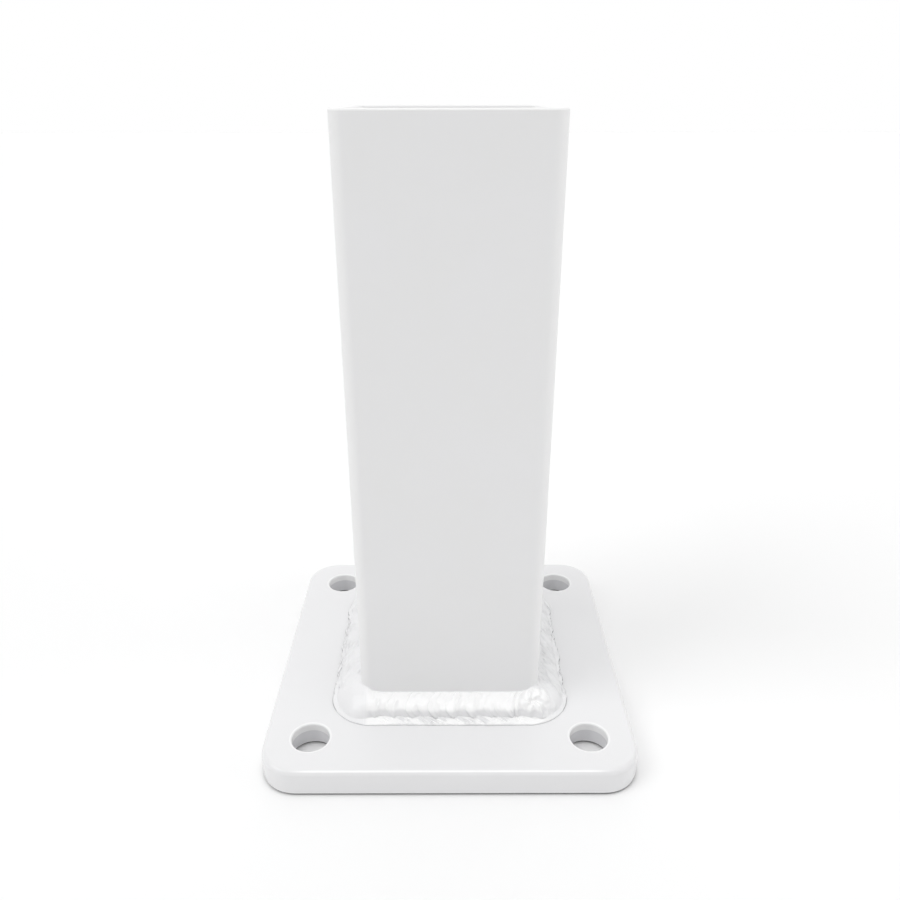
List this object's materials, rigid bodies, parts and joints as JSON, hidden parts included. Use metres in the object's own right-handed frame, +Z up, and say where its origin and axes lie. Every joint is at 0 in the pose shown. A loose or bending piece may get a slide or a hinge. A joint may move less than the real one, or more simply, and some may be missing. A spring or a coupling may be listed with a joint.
{
  "type": "welded base plate post",
  "caption": "Short square tube post, open at the top, welded all round to a square base plate with rounded corners and bolt holes.",
  "frame": {"origin": "centre of the base plate's underside", "axes": "+Z up along the tube, X and Y square to the plate's sides, the picture's front faces -Y"},
  "size_m": [0.1016, 0.1016, 0.165],
  "materials": {
    "plate_coat": "satin white powder coat",
    "tube_coat": "satin white powder coat",
    "weld_coat": "glossier white powder coat over weld ripples"
  },
  "bodies": {
    "root": {"base_plate": "plate_coat", "square_tube": "tube_coat", "weld_bead": "weld_coat"}
  },
  "joints": []
}
